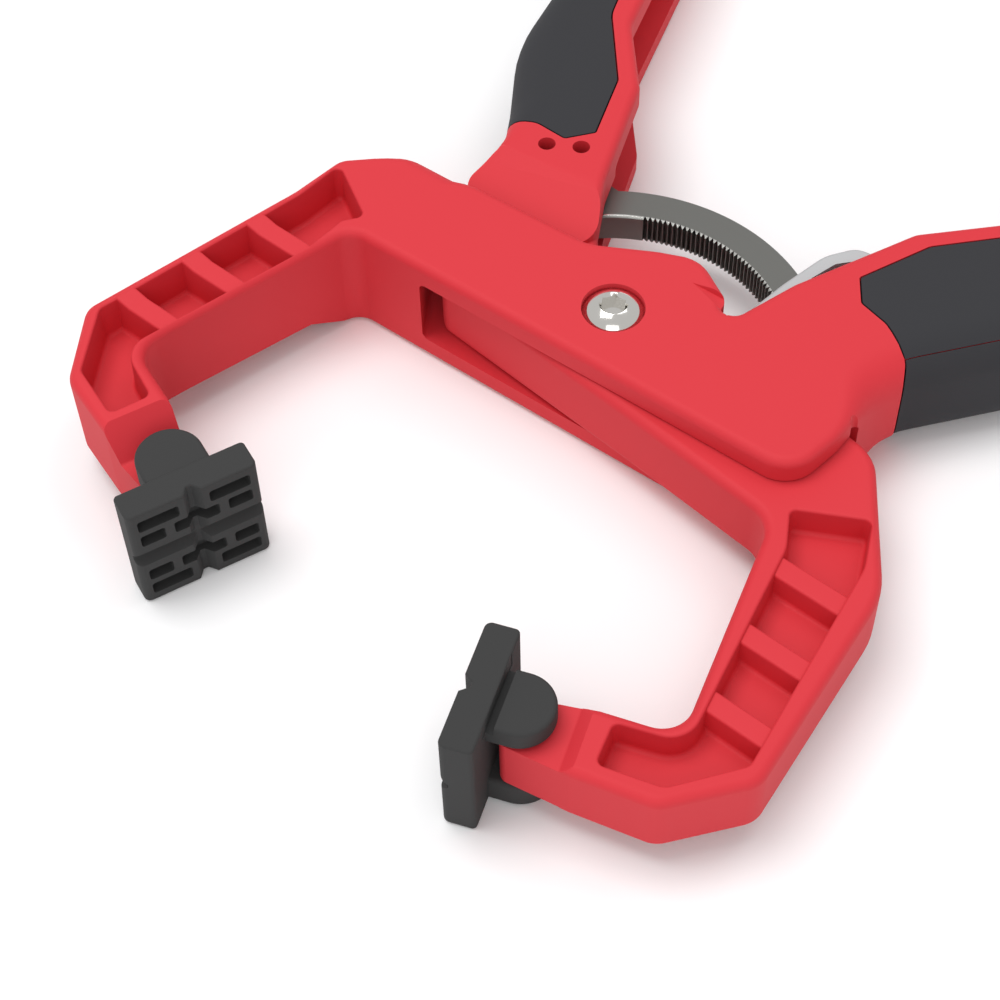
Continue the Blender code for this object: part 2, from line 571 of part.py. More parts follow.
def pad(name, side):
    """One moulded pad: a cross-grooved plate and two ears around the neck."""
    half = PAD_SIDE / 2
    back = PAD_FACE - PAD_PLATE
    groove = 1.6
    bed = PAD_FACE - 1.5
    plate = [(back, -half, 0.8), (PAD_FACE, -half, 1.2), (PAD_FACE, -groove), (bed, -0.4),
             (bed, 0.4), (PAD_FACE, groove), (PAD_FACE, half, 1.2), (back, half, 0.8)]
    low = MID - half
    piece = slab(name, rounded(plate, 3), low, low + PAD_SIDE)
    bevel(piece, 0.5, 1)
    ear = [(back + 0.5, -EAR_RADIUS), (back + 0.5, EAR_RADIUS)]
    ear += [polar(EAR_RADIUS, angle) for angle in range(90, 271, 15)]
    reach = NECK_HALF + GAP
    upper, lower = EAR_STEPS if side == HANDLE else EAR_STEPS[::-1]
    for bottom, top in ((low + lower, MID - reach), (MID + reach, low + PAD_SIDE - upper)):
        lug = slab(name + "_ear", ear, bottom, top, tool=True)
        bevel(lug, 0.5, 1)
        lug.parent = piece
        boolean(piece, lug, "UNION")
    level = [(PAD_FACE + 1, MID - groove), (PAD_FACE, MID - groove), (bed, MID - 0.4),
             (bed, MID + 0.4), (PAD_FACE, MID + groove), (PAD_FACE + 1, MID + groove)]
    cutters = [side_prism(name + "_level_groove", level, (0, 0), (1, 0), half + 1)]
    away = -1 if side == HANDLE else 1
    bottom, top = sorted((MID + away * (half - 3), MID + away * (half + 1)))
    cutters.append(box(name + "_ear_groove", (back - EAR_GROOVE, -7, bottom), (back + 0.1, 7, top)))
    face = PAD_FACE - 2.6
    slots = [(2.7, 9.9, 7.1, 9.7), (5.6, 9.9, 3.3, 5.9), (-9.9, -2.7, 7.1, 9.7), (-9.9, -5.6, 3.3, 5.9),
             (-4.0, 4.0, 3.3, 5.9)]
    for left, right, near, far in slots:
        for up in (-1, 1):
            bottom, top = sorted((MID + up * near, MID + up * far))
            cutters.append(box(name + "_slot", (face, left, bottom), (PAD_FACE + 1, right, top)))
    cutters.append(cylinder(name + "_bore", (0, 0), PIN_RADIUS + GAP, 2.4, FULL - 2.4, tool=True, sides=16))
    for tool in cutters:
        tool.parent = piece
        boolean(piece, tool)
    heading = jaw_direction(side)
    piece.location = (side * PAD_PIVOT[0] * MM, PAD_PIVOT[1] * MM, 0)
    piece.rotation_euler.z = math.atan2(heading.y, heading.x)
    return finish(piece, PAD_BLACK)


def pad_pin(name, side):
    pin = cylinder(name, (side * PAD_PIVOT[0], PAD_PIVOT[1]), PIN_RADIUS, 2.8, FULL - 2.8, sides=16)
    return finish(bevel(pin, 0.25, 1), STEEL)


fork_arm()
tongue_arm()
grip("fork_grip", HANDLE)
grip("tongue_grip", JAW)
pivot()
opening_spring()
ratchet_bar()
release_lever()
pawl()
pad("left_pad", HANDLE)
pad("right_pad", JAW)
pad_pin("left_pad_pin", HANDLE)
pad_pin("right_pad_pin", JAW)
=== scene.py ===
"""Ratcheting hand clamp: the finished surfaces, materials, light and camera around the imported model."""
import math
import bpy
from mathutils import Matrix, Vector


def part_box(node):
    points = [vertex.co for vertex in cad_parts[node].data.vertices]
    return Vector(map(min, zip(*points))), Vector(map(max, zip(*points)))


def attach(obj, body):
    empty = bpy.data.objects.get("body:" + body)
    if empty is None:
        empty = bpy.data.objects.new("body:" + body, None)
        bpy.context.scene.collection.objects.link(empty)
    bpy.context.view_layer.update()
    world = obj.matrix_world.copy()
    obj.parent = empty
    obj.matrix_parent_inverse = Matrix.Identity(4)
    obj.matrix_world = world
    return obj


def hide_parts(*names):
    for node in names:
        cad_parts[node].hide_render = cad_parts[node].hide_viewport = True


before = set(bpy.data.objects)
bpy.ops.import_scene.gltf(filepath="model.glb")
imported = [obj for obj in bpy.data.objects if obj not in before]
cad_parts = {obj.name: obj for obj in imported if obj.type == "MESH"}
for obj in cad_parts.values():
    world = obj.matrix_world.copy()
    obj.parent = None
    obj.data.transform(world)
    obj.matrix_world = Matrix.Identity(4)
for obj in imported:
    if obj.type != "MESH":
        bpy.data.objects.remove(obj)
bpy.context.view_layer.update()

from types import SimpleNamespace

import bmesh
import bpy
from bpy.props import FloatProperty, FloatVectorProperty, PointerProperty
from mathutils import Matrix, Vector

bl_info = {
    "name": "Ratcheting hand clamp",
    "version": (1, 0, 0),
    "blender": (4, 5, 0),
    "location": "3D View > Sidebar > Clamp",
    "description": "Moulded arms, grips, pads and fittings of a one-hand ratcheting clamp",
    "category": "Add Mesh",
}

MM = 0.001
JAW, HANDLE = 1, -1           # side of the drawing on which an arm is used

# in millimetres and degrees
PAD_TILT = 21.0               # between a pad's face and the middle plane
RAMP_HEADING = 95.0           # way up the ramp from the tongue to its handle
WALL_SLOPE = 0.23             # lean of the jaws' inner walls, which the ribs' ends follow
GAP = 0.3
PIVOT_BORE, PAD_PIN_BORE, BAR_PIN_BORE, LEVER_PIN_BORE = 4.3, 1.8, 1.6, 2.3     # radii
HEAD_SINK, HEAD_GAP, HEAD_SPHERE = 1.6, 0.25, 6.6
SCREW_RADIUS, SCREW_TIP = 2.6, 8.0
BARREL_RADIUS, FLANGE_THICK, NUT_FLOOR = 4.0, 1.9, 5.0
GRIP_WALL, GRIP_SKIN = 2.5, 1.9
EAR_RADIUS, EAR_GROOVE = 5.7, 1.3
BAR_INNER, BAR_OUTER, TOOTH_DEPTH, TOOTH_PITCH = 30.0, 36.6, 0.8, 1.78
BAR_START, TEETH_END, TANG_START, BAR_END = 25, 117, 126, 141
CREST_ROUND, BACK_ROUND = 1.1, 0.35    # rounding of the bar's hollow and outer edges


def frame_height(node):
    low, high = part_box(node)
    return high.z - low.z


def frame_centre(node):
    low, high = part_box(node)
    return (low + high) / 2


# ---------------------------------------------------------------- sizes and colours

def length(name, description, default):
    return FloatProperty(name=name, description=description, default=default, unit="LENGTH", precision=5)


def colour(name, description, default):
    return FloatVectorProperty(name=name, description=description, default=default, subtype="COLOR",
                               size=3, min=0, max=1)


class ClampSizes(bpy.types.PropertyGroup):
    full: length("Full thickness", "Thickness of the fork arm and the handles", frame_height("fork_arm"))
    tongue: length("Tongue thickness", "Thickness of the tongue arm between the cheeks", 13.4 * MM)
    slot: length("Slot height", "Height of the slot through the fork arm", 14.0 * MM)
    neck: length("Neck thickness", "Thickness of the necks that carry the pads", 10.6 * MM)
    edge: length("Arm edge", "Rounding of the arms' long edges", 1.7 * MM)
    fork_back: length("Fork handle back", "Rounding of the fork handle's outer edges", 7.6 * MM)
    tongue_back: length("Tongue handle back", "Rounding of the tongue handle's outer edges", 6.4 * MM)
    rim: length("Pocket rim", "Rounding of the pockets' upper edges", 0.5 * MM)
    floor: length("Pocket floor", "Fillet round the pockets' floors", 0.8 * MM)
    fork_pocket: length("Fork pocket depth", "Depth of the ribbed pockets in the fork's jaw", 7.4 * MM)
    web: length("Fork web", "Thickness between the upper and lower pockets of the fork's jaw", 2.4 * MM)
    tongue_pocket: length("Tongue pocket depth", "Depth of the ribbed pockets in the tongue's jaw", 5.4 * MM)
    rib: length("Rib width", "Width of a pocket's rib", 4.2 * MM)
    rib_sink: length("Rib depth", "Depth of the ribs' tops under the rim", 0.7 * MM)
    crease: length("Crease", "Rounding of edges left by the mould's inserts", 0.32 * MM)
    head: length("Screw head", "Radius of the pivot screw's head", 5.25 * MM)
    dome: length("Screw height", "Height of the screw's dome above the arm", 1.6 * MM)
    hexagon: length("Hex socket", "Width across the flats of the screw's socket", 4.0 * MM)
    pad: length("Pad side", "Height and width of a pad", frame_height("left_pad"))
    bar: length("Ratchet bar", "Thickness of the ratchet bar", frame_height("ratchet_bar"))


class ClampColours(bpy.types.PropertyGroup):
    nylon: colour("Nylon", "Moulded arms", (0.70, 0.016, 0.028))
    grip: colour("Grip", "Soft rubber of the grips", (0.013, 0.013, 0.013))
    pad: colour("Pad", "Rubber of the pads", (0.009, 0.009, 0.0095))
    nickel: colour("Nickel", "Plated pivot screw", (0.87, 0.84, 0.77))
    steel: colour("Steel", "Oiled ratchet bar, pins and springs", (0.19, 0.187, 0.17))
    # painted highlight: a light colour for two thin bands on the bar's rounded inner edge, standing in for
    # the bright lines light makes there
    highlight_colour: colour("Painted edge highlight", "Bright edge of the ratchet bar", (0.72, 0.71, 0.68))
    zinc: colour("Zinc", "Cast release lever", (0.60, 0.61, 0.62))
    floor: colour("Floor", "Studio floor", (0.93, 0.93, 0.935))


def sizes(context):
    """The sizes in millimetres, under their own names."""
    group = context.scene.clamp_sizes
    return SimpleNamespace(**{key: getattr(group, key) / MM for key in ClampSizes.__annotations__})


# ---------------------------------------------------------------- outlines
# corners as (x, y) or (x, y, radius), in millimetres; jaw on +X, handle on -X

HANDLE_INNER = [(-20.4, 24, 12), (-30.1, 47.0, 5), (-42, 60, 9), (-58.5, 106.5, 7)]
FORK_OUTER = [(-74.6, 106.5, 7), (-70, 86, 40), (-66.6, 66, 40), (-61.6, 41.9, 30), (-44.5, 19, 20)]
TONGUE_OUTER = [(-72.8, 106.5, 7), (-67.2, 86, 40), (-63.2, 66, 40), (-57.5, 44.1, 36), (-41.4, 21.3, 8)]
FORK_ROOT = [(-45.3, 1, 10), (-44, -10.2, 8.5)]
TONGUE_ROOT = [(-40.3, 16.5, 12), (-42.4, 8.4, 3.6)]
JAW_INNER = [(57.3, -57.0, 5), (45.3, -61.2, 2), (33.5, -67.0, 1.8)]
JAW_TIP = [(34.3, -71.8, 6), (36.9, -75.2, 1.8), (48.5, -72.9, 3)]
RAISED_SOLE = [(15, -1), (15, 0), (24, 5.0), (50, 6.2), (90, 6.2), (90, -1)]

FORK = (FORK_OUTER + FORK_ROOT + [(47.4, -14.0, 4)]
        + JAW_INNER + JAW_TIP
        + [(61.3, -69.0, 5), (70.5, -56, 4), (61.8, -13, 12), (60.8, -2.0, 4), (51.5, 7.2, 6)]
        + [(13, 9.7, 8), (2.5, 15.8, 8), (-4.5, 19.0, 7), (-13.4, 14.2, 2.5)]
        + [(-13.8, 11.3, 2), (-17, 11.8, 5)] + HANDLE_INNER)
FORK_HANDLE = FORK_OUTER + [(-45, 9, 3.6), (-12.9, 11.4, 3.6)] + HANDLE_INNER
TONGUE_HANDLE = TONGUE_OUTER + TONGUE_ROOT + [(-12.9, 11.4, 3.6)] + HANDLE_INNER
TONGUE = ([(-37, 18, 2), (-39.8, 15, 10), (-41.4, 7, 3), (-30.3, -10.2, 4), (12, -13.4, 60), (44.6, -16.4, 6)]
          + JAW_INNER + JAW_TIP
          + [(62.0, -69.2, 5), (71.5, -56.5, 5), (66.6, -17, 16), (50.2, 5.4, 9)]
          + [(12, 9.4, 20), (-10, 9.4, 6), (-17.5, 18, 3)])

POCKET_FORK = [(47.6, -10.2, 1.2), (59.6, -3.4, 1.2), (60.0, -13, 8), (68.2, -54.8, 2), (60.6, -66.4, 2),
               (50.2, -69.8, 1.2), (47.8, -63.0, 1.2), (58.6, -58.6, 5), (50.2, -22, 9), (50.0, -13.5, 1.2)]
POCKET_TONGUE = [(46.0, -12.9, 1.2), (57.5, -6.6, 1.2), (61.6, -15, 8), (68.4, -55.2, 2), (60.8, -66.0, 3),
                 (50.6, -69.2, 1.2), (48.4, -62.0, 1.2), (59.2, -58.0, 5), (50.0, -19.5, 7)]
# ribs as (y, inner end, outer end)
RIBS_FORK = ((-22.8, 50.4, 61.9), (-36.3, 53.5, 64.6), (-49.5, 56.5, 67.2))
RIBS_TONGUE = ((-22.8, 50.8, 62.9), (-36.3, 54.0, 65.2), (-49.5, 57.2, 67.4))

# drawn as they lie in the clamp
SLOT = [(-31.5, -30), (-31.5, -14.6), (-47.6, 9.2), (-47.6, 45), (-4, 45), (16, 62), (34, 82), (50, 102),
        (58.5, 100.5, 3), (63.2, 98, 3), (58.4, 84), (54.2, 67, 20), (51.4, 55.5, 20), (46.4, 42, 14),
        (37.4, 27, 8), (36, 20, 6), (36, 8.6), (80, 6.6), (80, -30)]
CHANNEL_ROOT = [(-4, 34), (-9, 12.4), (-17, 13.0, 2), (-30, 15.0, 4), (-36.8, 19.4, 2), (-38.4, 28, 3),
                (-37, 33), (-20, 42)]
CHANNEL = [(-12, 31), (-39.8, 31), (-46.4, 42, 14), (-51.4, 55.5, 20), (-54.2, 67, 20), (-58.4, 84),
           (-63.2, 98, 3), (-58.5, 100.5, 3), (-50, 102), (-34, 82), (-16, 62)]
GRIP_INNER = [(-92, 97), (-68, 101, 4), (-60.5, 98, 4), (-54.8, 80, 30), (-46.4, 59.3, 8), (-34.1, 45.4, 2),
              (-28.7, 31.8, 0.6), (-32.2, 27.1, 1)]
FORK_GRIP = GRIP_INNER + [(-38.0, 25.8, 4), (-44.6, 22.2, 2), (-47, 18.6), (-62, 12), (-95, 60)]
TONGUE_GRIP = GRIP_INNER + [(-38.8, 27.2, 4), (-43.2, 24.6, 1), (-62, 17), (-95, 60)]
HANDLE_AND_GRIP = {HANDLE: (FORK_HANDLE, FORK_GRIP), JAW: (TONGUE_HANDLE, TONGUE_GRIP)}
OUTER_SIDE = {HANDLE: FORK_OUTER + FORK_ROOT, JAW: TONGUE_OUTER + TONGUE_ROOT}

LEVER = [(15.4, 16.2, 2), (16.6, 27, 20), (18.4, 37, 8), (21.8, 42.2, 4), (28.4, 43.2, 4), (31.8, 45.4, 3),
         (39.0, 60, 8), (42.4, 69, 10), (47.6, 78.4, 8), (52.0, 84.6, 2), (49.6, 88.0, 3), (54.4, 87.0, 2),
         (53.2, 77, 10), (47.6, 67, 10), (43.6, 56, 12), (40.8, 44, 3), (40.4, 37.6, 4), (36.4, 33, 4),
         (33.4, 24, 6), (31.6, 15.6, 3), (24, 12.4, 2), (18, 14.4, 3)]
LEVER_HOLLOW = [(19.6, 30, 1), (21.2, 36.4, 2), (23.6, 39.2, 2), (28.6, 39.8, 2), (30.0, 36.0, 2),
                (27.2, 30, 1)]


def rounded(corners, step=6.0, pitch=None):
    """Points of a closed outline: corners with radii become arcs, and long runs are divided by a pitch."""
    points = []
    count = len(corners)
    for index, corner in enumerate(corners):
        here = Vector(corner[:2])
        to_last = Vector(corners[index - 1][:2]) - here
        to_next = Vector(corners[(index + 1) % count][:2]) - here
        half = to_last.angle(to_next) / 2
        radius = corner[2] if len(corner) > 2 else 0
        reach = min(radius / math.tan(half), 0.49 * to_last.length, 0.49 * to_next.length)
        if reach < 0.05:
            points.append(here)
            continue
        start = here + to_last.normalized() * reach
        end = here + to_next.normalized() * reach
        centre = here + (to_last.normalized() + to_next.normalized()).normalized() * (reach / math.cos(half))
        sweep = (start - centre).angle_signed(end - centre)
        steps = max(1, math.ceil(abs(math.degrees(sweep)) / step))
        for number in range(steps + 1):
            points.append(centre + Matrix.Rotation(-sweep * number / steps, 2) @ (start - centre))
    if not pitch:
        return points
    divided = []
    for index, point in enumerate(points):
        following = points[(index + 1) % len(points)]
        parts = max(1, round((following - point).length / pitch))
        divided.extend(point.lerp(following, part / parts) for part in range(parts))
    return divided


def flip(corners, side):
    """Mirror a drawing when it is used on the other side."""
    if side == JAW:
        return list(corners)
    return [(-corner[0], *corner[1:]) for corner in reversed(corners)]


def inset(points, distance):
    """Move a closed outline inwards by a distance, or by one distance for each point."""
    count = len(points)
    area = sum(points[i - 1].x * points[i].y - points[i].x * points[i - 1].y for i in range(count))
    sign = math.copysign(1, area)
    distances = distance if isinstance(distance, list) else [distance] * count
    moved = []
    for index, point in enumerate(points):
        before = (point - points[index - 1]).normalized()
        after = (points[(index + 1) % count] - point).normalized()
        normal = Vector((-before.y - after.y, before.x + after.x)).normalized()
        stretch = max(0.6, normal.dot(Vector((-before.y, before.x))))
        moved.append(point + normal * (sign * distances[index] / stretch))
    return moved


def polar(radius, degrees):
    angle = math.radians(degrees)
    return Vector((radius * math.cos(angle), radius * math.sin(angle)))


# ---------------------------------------------------------------- solids

def new_object(name, mesh):
    made = bpy.data.objects.new(name, mesh)
    bpy.context.scene.collection.objects.link(made)
    return made


def loft(name, rings):
    """A closed solid through rings of equally many points, in millimetres, with flat ends."""
    form = bmesh.new()
    loops = [[form.verts.new(Vector(point) * MM) for point in ring] for ring in rings]
    form.faces.new(reversed(loops[0]))
    form.faces.new(loops[-1])
    for lower, upper in zip(loops, loops[1:]):
        for index in range(len(lower)):
            form.faces.new((lower[index - 1], lower[index], upper[index], upper[index - 1]))
    bmesh.ops.recalc_face_normals(form, faces=form.faces)
    mesh = bpy.data.meshes.new(name)
    form.to_mesh(mesh)
    form.free()
    return new_object(name, mesh)


def plate(name, points, low, high, edge=0.0, steps=5):
    """A flat solid with rounded rims. The rounding may be one radius or a function of the place."""
    radii = [edge(point) if callable(edge) else edge for point in points]
    if not any(radii):
        return loft(name, [[(p.x, p.y, z) for p in points] for z in (low, high)])
    rings = []
    for number in range(steps + 1):
        angle = math.radians(90 * number / steps)
        moved = inset(points, [radius * (1 - math.sin(angle)) for radius in radii])
        rings.append([(p.x, p.y, low + r * (1 - math.cos(angle))) for p, r in zip(moved, radii)])
    for number in range(steps, -1, -1):
        angle = math.radians(90 * number / steps)
        moved = inset(points, [radius * (1 - math.sin(angle)) for radius in radii])
        rings.append([(p.x, p.y, high - r * (1 - math.cos(angle))) for p, r in zip(moved, radii)])
    return loft(name, rings)


def pocket_tool(name, points, floor, rim, fillet, lip, draft=0.2):
    """A cutter for a blind pocket between two heights: a filleted floor, drafted walls and a flared rim."""
    up = 1 if rim > floor else -1
    rings = []
    for number in range(5):
        angle = math.radians(22.5 * number)
        moved = inset(points, draft + fillet * (1 - math.sin(angle)))
        rings.append([(p.x, p.y, floor + up * fillet * (1 - math.cos(angle))) for p in moved])
    for number in range(5):
        angle = math.radians(22.5 * number)
        moved = inset(points, -lip * (1 - math.cos(angle)))
        rings.append([(p.x, p.y, rim - up * lip * (1 - math.sin(angle))) for p in moved])
    rings.append([(x, y, z + up) for x, y, z in rings[-1]])
    return loft(name, rings if up > 0 else rings[::-1])


def disc(name, centre, radius, low, high, edge=0.0, sides=48):
    points = [Vector(centre[:2]) + polar(radius, 360 * index / sides) for index in range(sides)]
    return plate(name, points, low, high, edge, 3)


def box(name, low, high, edge=0.0):
    corners = [(low[0], low[1]), (high[0], low[1]), (high[0], high[1]), (low[0], high[1])]
    return plate(name, [Vector(corner) for corner in corners], low[2], high[2], edge, 3)


def turned(name, profile, sides=64):
    """A solid of revolution about Z, from radius and height pairs that start and end on the axis."""
    form = bmesh.new()
    points = [form.verts.new((radius * MM, 0, height * MM)) for radius, height in profile]
    edges = [form.edges.new(pair) for pair in zip(points, points[1:])]
    bmesh.ops.spin(form, geom=points + edges, axis=(0, 0, 1), cent=(0, 0, 0), angle=math.tau, steps=sides)
    bmesh.ops.remove_doubles(form, verts=form.verts, dist=1e-7)
    bmesh.ops.recalc_face_normals(form, faces=form.faces)
    mesh = bpy.data.meshes.new(name)
    form.to_mesh(mesh)
    form.free()
    return new_object(name, mesh)


def upright(tool, origin, direction):
    """Stand a flat tool on edge: its X runs along a direction and its Y points up."""
    along = Vector((*direction, 0)).normalized()
    up = Vector((0, 0, 1))
    turn = Matrix((along, up, along.cross(up))).transposed().to_4x4()
    tool.matrix_world = Matrix.Translation(Vector((*origin, 0)) * MM) @ turn
    return tool


def settle(piece):
    """Make a piece's modifiers and placing part of its mesh."""
    bpy.context.view_layer.update()
    graph = bpy.context.evaluated_depsgraph_get()
    mesh = bpy.data.meshes.new_from_object(piece.evaluated_get(graph))
    mesh.transform(piece.matrix_world)
    if piece.matrix_world.is_negative:
        mesh.flip_normals()
    piece.modifiers.clear()
    piece.data = mesh
    piece.matrix_world = Matrix.Identity(4)
    return piece


def combine(piece, tools, operation="DIFFERENCE"):
    """Cut, join or meet a piece with tools, which are used up."""
    for tool in tools:
        made = piece.modifiers.new("boolean", "BOOLEAN")
        made.object = tool
        made.operation = operation
        made.solver = "EXACT"
    settle(piece)
    for tool in tools:
        bpy.data.objects.remove(tool)
    return piece


def soften(piece, width, segments=2, angle=38):
    """Round what sharp edges are left, by a width in millimetres."""
    made = piece.modifiers.new("crease", "BEVEL")
    made.width = width * MM
    made.segments = segments
    made.limit_method = "ANGLE"
    made.angle_limit = math.radians(angle)
    made.use_clamp_overlap = True
    return settle(piece)


def shade(piece, angle=32):
    """Smooth shading with true flats."""
    piece.data.shade_smooth()
    piece.data.set_sharp_from_angle(angle=math.radians(angle))
    made = piece.modifiers.new("normals", "WEIGHTED_NORMAL")
    made.keep_sharp = True
    made.weight = 60
    return settle(piece)


def hand_over(piece, body, node, paint):
    """Give a finished piece its material and body, and let it stand for its node."""
    piece.data.materials.clear()
    for material in paint if isinstance(paint, list) else [paint]:
        piece.data.materials.append(material)
    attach(piece, body)
    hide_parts(node)
    return piece


# ---------------------------------------------------------------- materials

class Recipe:
    """A material's node tree, with short ways to add to it."""

    def __init__(self, name):
        self.material = bpy.data.materials.new(name)
        self.material.use_nodes = True
        self.tree = self.material.node_tree
        self.shader = self.tree.nodes["Principled BSDF"]

    def node(self, kind, **values):
        made = self.tree.nodes.new(kind)
        for key, value in values.items():
            made.inputs[key.replace("_", " ")].default_value = value
        return made

    def group(self, name, **values):
        made = self.tree.nodes.new("ShaderNodeGroup")
        made.node_tree = bpy.data.node_groups[name]
        for key, value in values.items():
            made.inputs[key.replace("_", " ")].default_value = value
        return made

    def set(self, **values):
        for key, value in values.items():
            self.shader.inputs[key.replace("_", " ")].default_value = value

    def link(self, source, target):
        self.tree.links.new(source, target)

    def blend(self, factor, first, second):
        """A colour between two, by a mask."""
        made = self.tree.nodes.new("ShaderNodeMix")
        made.data_type = "RGBA"
        made.inputs["A"].default_value = (*first, 1)
        made.inputs["B"].default_value = (*second, 1)
        self.link(factor, made.inputs["Factor"])
        return made.outputs["Result"]

    def range(self, value, low, high):
        made = self.tree.nodes.new("ShaderNodeMapRange")
        made.inputs["To Min"].default_value = low
        made.inputs["To Max"].default_value = high
        self.link(value, made.inputs["Value"])
        return made.outputs["Result"]

    def bump(self, height, strength, distance):
        made = self.node("ShaderNodeBump", Strength=strength, Distance=distance)
        self.link(height, made.inputs["Height"])
        self.link(made.outputs["Normal"], self.shader.inputs["Normal"])


def socket(tree, name, direction, kind, default=None):
    made = tree.interface.new_socket(name=name, in_out=direction, socket_type=kind)
    if default is not None:
        made.default_value = default


def grain_group():
    """Fine skin of a mould or a casting: a height, and a slow variation over the surface."""
    tree = bpy.data.node_groups.new("surface_grain", "ShaderNodeTree")
    socket(tree, "Fine Scale", "INPUT", "NodeSocketFloat", 2500.0)
    socket(tree, "Coarse Scale", "INPUT", "NodeSocketFloat", 60.0)
    socket(tree, "Height", "OUTPUT", "NodeSocketFloat")
    socket(tree, "Variation", "OUTPUT", "NodeSocketFloat")
    nodes, links = tree.nodes, tree.links
    entry = nodes.new("NodeGroupInput")
    leave = nodes.new("NodeGroupOutput")
    place = nodes.new("ShaderNodeTexCoord")
    fine = nodes.new("ShaderNodeTexNoise")
    fine.inputs["Detail"].default_value = 2.0
    coarse = nodes.new("ShaderNodeTexNoise")
    coarse.inputs["Detail"].default_value = 4.0
    for texture, scale, output in ((fine, "Fine Scale", "Height"), (coarse, "Coarse Scale", "Variation")):
        links.new(place.outputs["Object"], texture.inputs["Vector"])
        links.new(entry.outputs[scale], texture.inputs["Scale"])
        links.new(texture.outputs["Fac"], leave.inputs[output])
    return tree


def specks_group():
    """Sparse bright specks of dust on a dark surface, as a mask."""
    tree = bpy.data.node_groups.new("dust_specks", "ShaderNodeTree")
    socket(tree, "Scale", "INPUT", "NodeSocketFloat", 900.0)
    socket(tree, "Size", "INPUT", "NodeSocketFloat", 0.1)
    socket(tree, "Mask", "OUTPUT", "NodeSocketFloat")
    nodes, links = tree.nodes, tree.links
    entry = nodes.new("NodeGroupInput")
    leave = nodes.new("NodeGroupOutput")
    place = nodes.new("ShaderNodeTexCoord")
    cells = nodes.new("ShaderNodeTexVoronoi")
    links.new(place.outputs["Object"], cells.inputs["Vector"])
    links.new(entry.outputs["Scale"], cells.inputs["Scale"])
    near = nodes.new("ShaderNodeMath")
    near.operation = "LESS_THAN"
    links.new(cells.outputs["Distance"], near.inputs[0])
    links.new(entry.outputs["Size"], near.inputs[1])
    tint = nodes.new("ShaderNodeSeparateColor")
    links.new(cells.outputs["Color"], tint.inputs["Color"])
    chosen = nodes.new("ShaderNodeMath")
    chosen.operation = "GREATER_THAN"
    chosen.inputs[1].default_value = 0.86
    links.new(tint.outputs["Red"], chosen.inputs[0])
    both = nodes.new("ShaderNodeMath")
    both.operation = "MULTIPLY"
    links.new(near.outputs[0], both.inputs[0])
    links.new(chosen.outputs[0], both.inputs[1])
    links.new(both.outputs[0], leave.inputs["Mask"])
    return tree


def scaled(rgb, factor):
    return tuple(min(1, channel * factor) for channel in rgb)


def nylon_material(rgb):
    recipe = Recipe("red_nylon")
    recipe.set(IOR=1.5, Specular_IOR_Level=0.75)
    grain = recipe.group("surface_grain", Fine_Scale=2600.0, Coarse_Scale=70.0)
    recipe.link(recipe.blend(grain.outputs["Variation"], scaled(rgb, 0.96), scaled(rgb, 1.04)),
                recipe.shader.inputs["Base Color"])
    recipe.link(recipe.range(grain.outputs["Variation"], 0.34, 0.44), recipe.shader.inputs["Roughness"])
    recipe.bump(grain.outputs["Height"], 0.35, 0.03 * MM)
    return recipe.material


def grip_material(rgb):
    recipe = Recipe("soft_grip_rubber")
    recipe.set(IOR=1.5, Specular_IOR_Level=0.34)
    grain = recipe.group("surface_grain", Fine_Scale=3600.0, Coarse_Scale=120.0)
    specks = recipe.group("dust_specks", Scale=700.0, Size=0.09)
    recipe.link(recipe.blend(specks.outputs["Mask"], rgb, (0.3, 0.3, 0.3)),
                recipe.shader.inputs["Base Color"])
    recipe.link(recipe.range(grain.outputs["Variation"], 0.5, 0.64), recipe.shader.inputs["Roughness"])
    recipe.bump(grain.outputs["Height"], 0.5, 0.03 * MM)
    return recipe.material


def pad_material(rgb):
    recipe = Recipe("pad_rubber")
    recipe.set(IOR=1.5, Specular_IOR_Level=0.22)
    grain = recipe.group("surface_grain", Fine_Scale=1400.0, Coarse_Scale=160.0)
    recipe.link(recipe.blend(grain.outputs["Variation"], scaled(rgb, 0.8), scaled(rgb, 1.3)),
                recipe.shader.inputs["Base Color"])
    recipe.link(recipe.range(grain.outputs["Variation"], 0.3, 0.5), recipe.shader.inputs["Roughness"])
    recipe.bump(grain.outputs["Height"], 0.25, 0.04 * MM)
    return recipe.material


def nickel_material(rgb):
    recipe = Recipe("nickel_plate")
    recipe.set(Metallic=1.0)
    grain = recipe.group("surface_grain", Fine_Scale=1200.0, Coarse_Scale=300.0)
    recipe.link(recipe.blend(grain.outputs["Variation"], scaled(rgb, 0.93), rgb),
                recipe.shader.inputs["Base Color"])
    recipe.link(recipe.range(grain.outputs["Variation"], 0.04, 0.12), recipe.shader.inputs["Roughness"])
    recipe.bump(grain.outputs["Height"], 0.06, 0.03 * MM)
    return recipe.material


def steel_material(name, rgb, smooth, rough):
    recipe = Recipe(name)
    recipe.set(Metallic=1.0)
    grain = recipe.group("surface_grain", Fine_Scale=1800.0, Coarse_Scale=220.0)
    recipe.link(recipe.blend(grain.outputs["Variation"], scaled(rgb, 0.75), scaled(rgb, 1.25)),
                recipe.shader.inputs["Base Color"])
    recipe.link(recipe.range(grain.outputs["Variation"], smooth, rough), recipe.shader.inputs["Roughness"])
    recipe.bump(grain.outputs["Height"], 0.25, 0.02 * MM)
    return recipe.material


